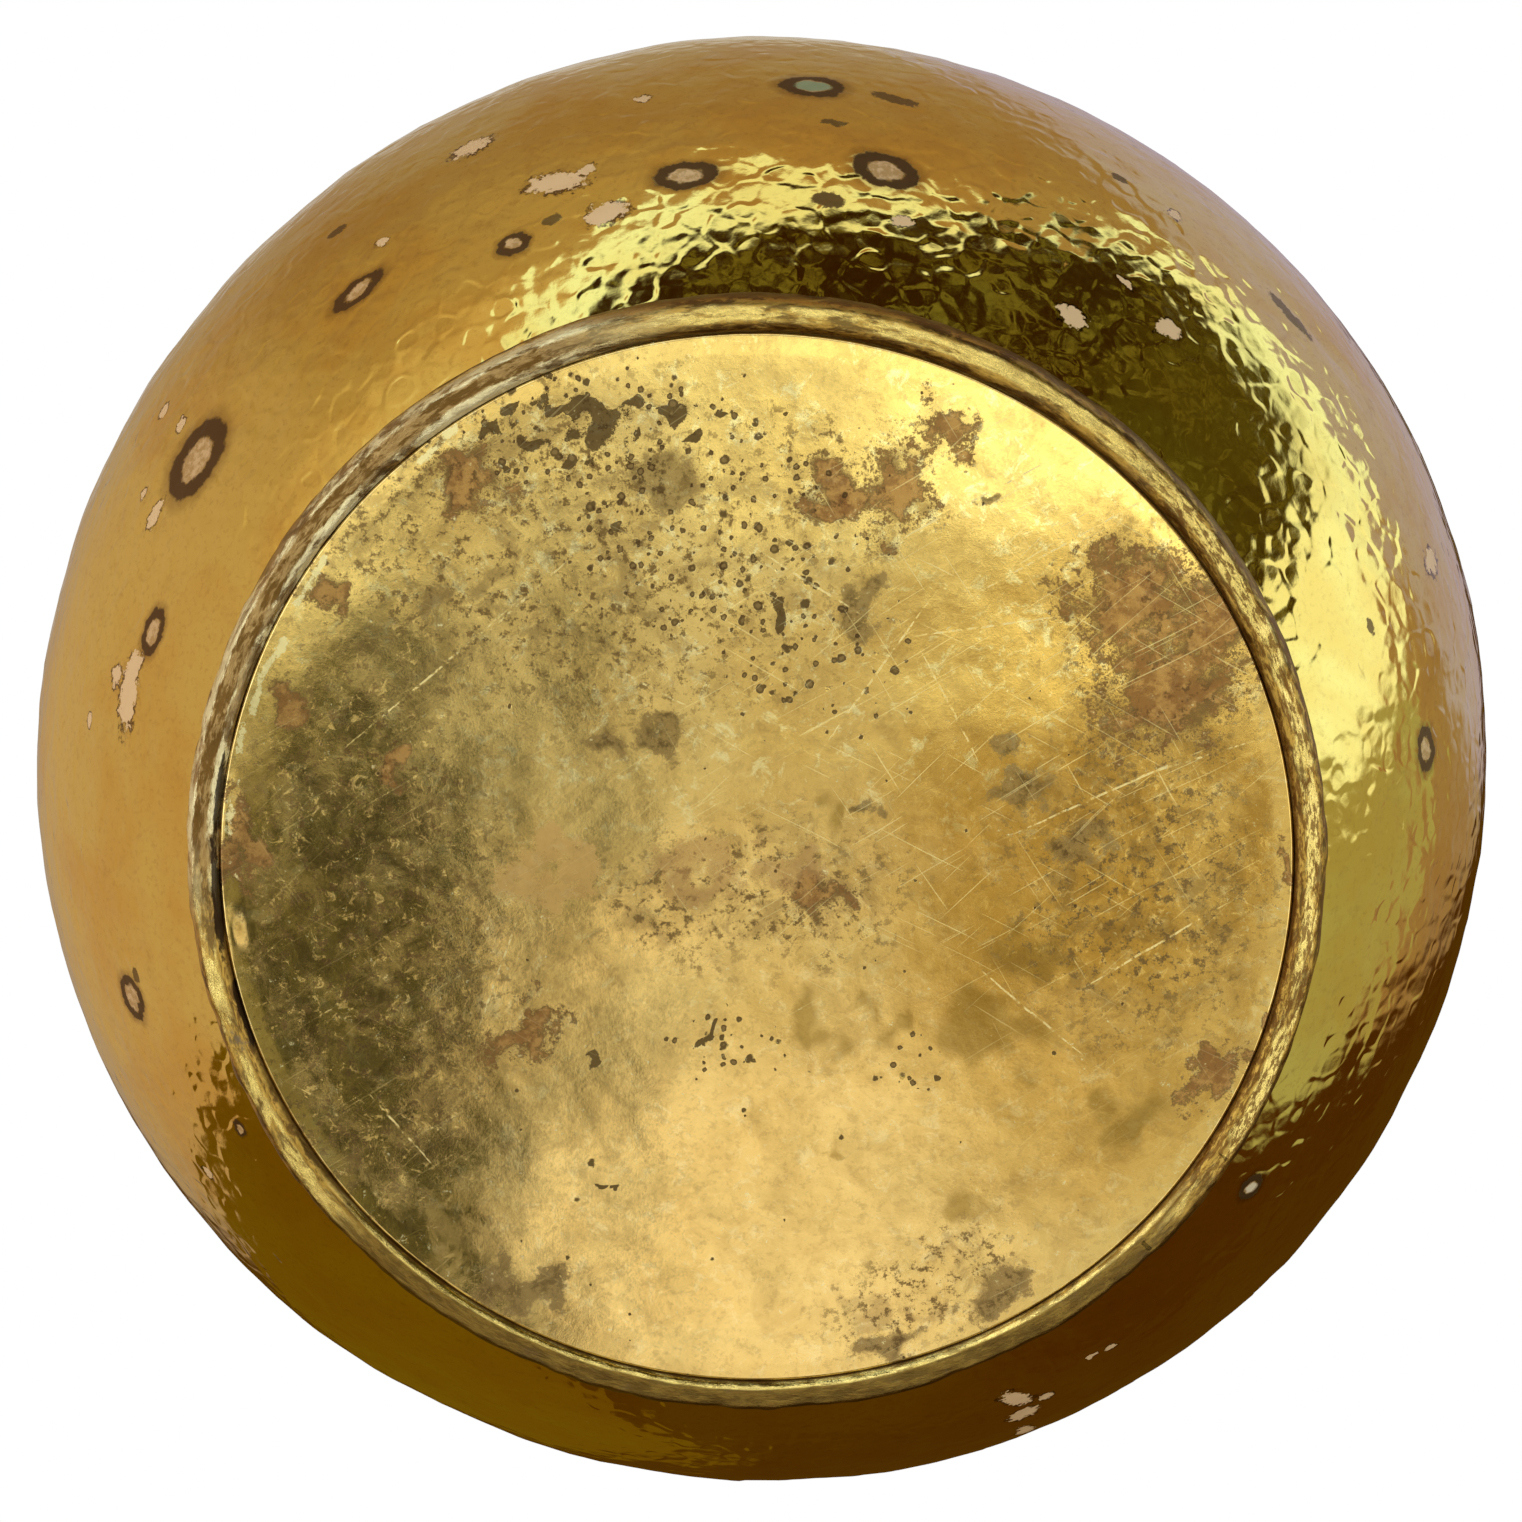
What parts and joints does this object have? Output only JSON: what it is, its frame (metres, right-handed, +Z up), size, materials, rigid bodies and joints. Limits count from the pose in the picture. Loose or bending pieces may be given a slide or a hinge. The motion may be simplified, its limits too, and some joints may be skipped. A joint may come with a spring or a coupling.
{
  "type": "hammered brass pot",
  "caption": "Round hammered sheet-brass pot with a bulging wall, a narrower mouth with a rolled rim, and a flat base plate framed by a raised foot bead.",
  "frame": {"origin": "Middle of the foot, in the plane of the flat land on the foot bead, on the surface that the pot stands on.", "axes": "+Z runs up the pot's axis of symmetry towards the mouth. +X and +Y lie in the resting plane."},
  "size_m": [0.2, 0.2, 0.1343],
  "materials": {
    "wall_brass": "polished sheet brass with close hammer marks, a few ringed corrosion spots and warm tarnish",
    "plate_brass": "worn, scratched and gently dented brass with brown and grey tarnish and small black pits",
    "bead_brass": "rubbed brass bead, bright on its crest and brown beside it",
    "solder": "dull grey soft solder",
    "wire_iron": "plain dark iron wire"
  },
  "bodies": {
    "root": {"body_shell": "wall_brass", "base_plate": "plate_brass", "foot_ring": "bead_brass", "joint_solder": "solder", "rim_wire": "wire_iron"}
  },
  "joints": []
}
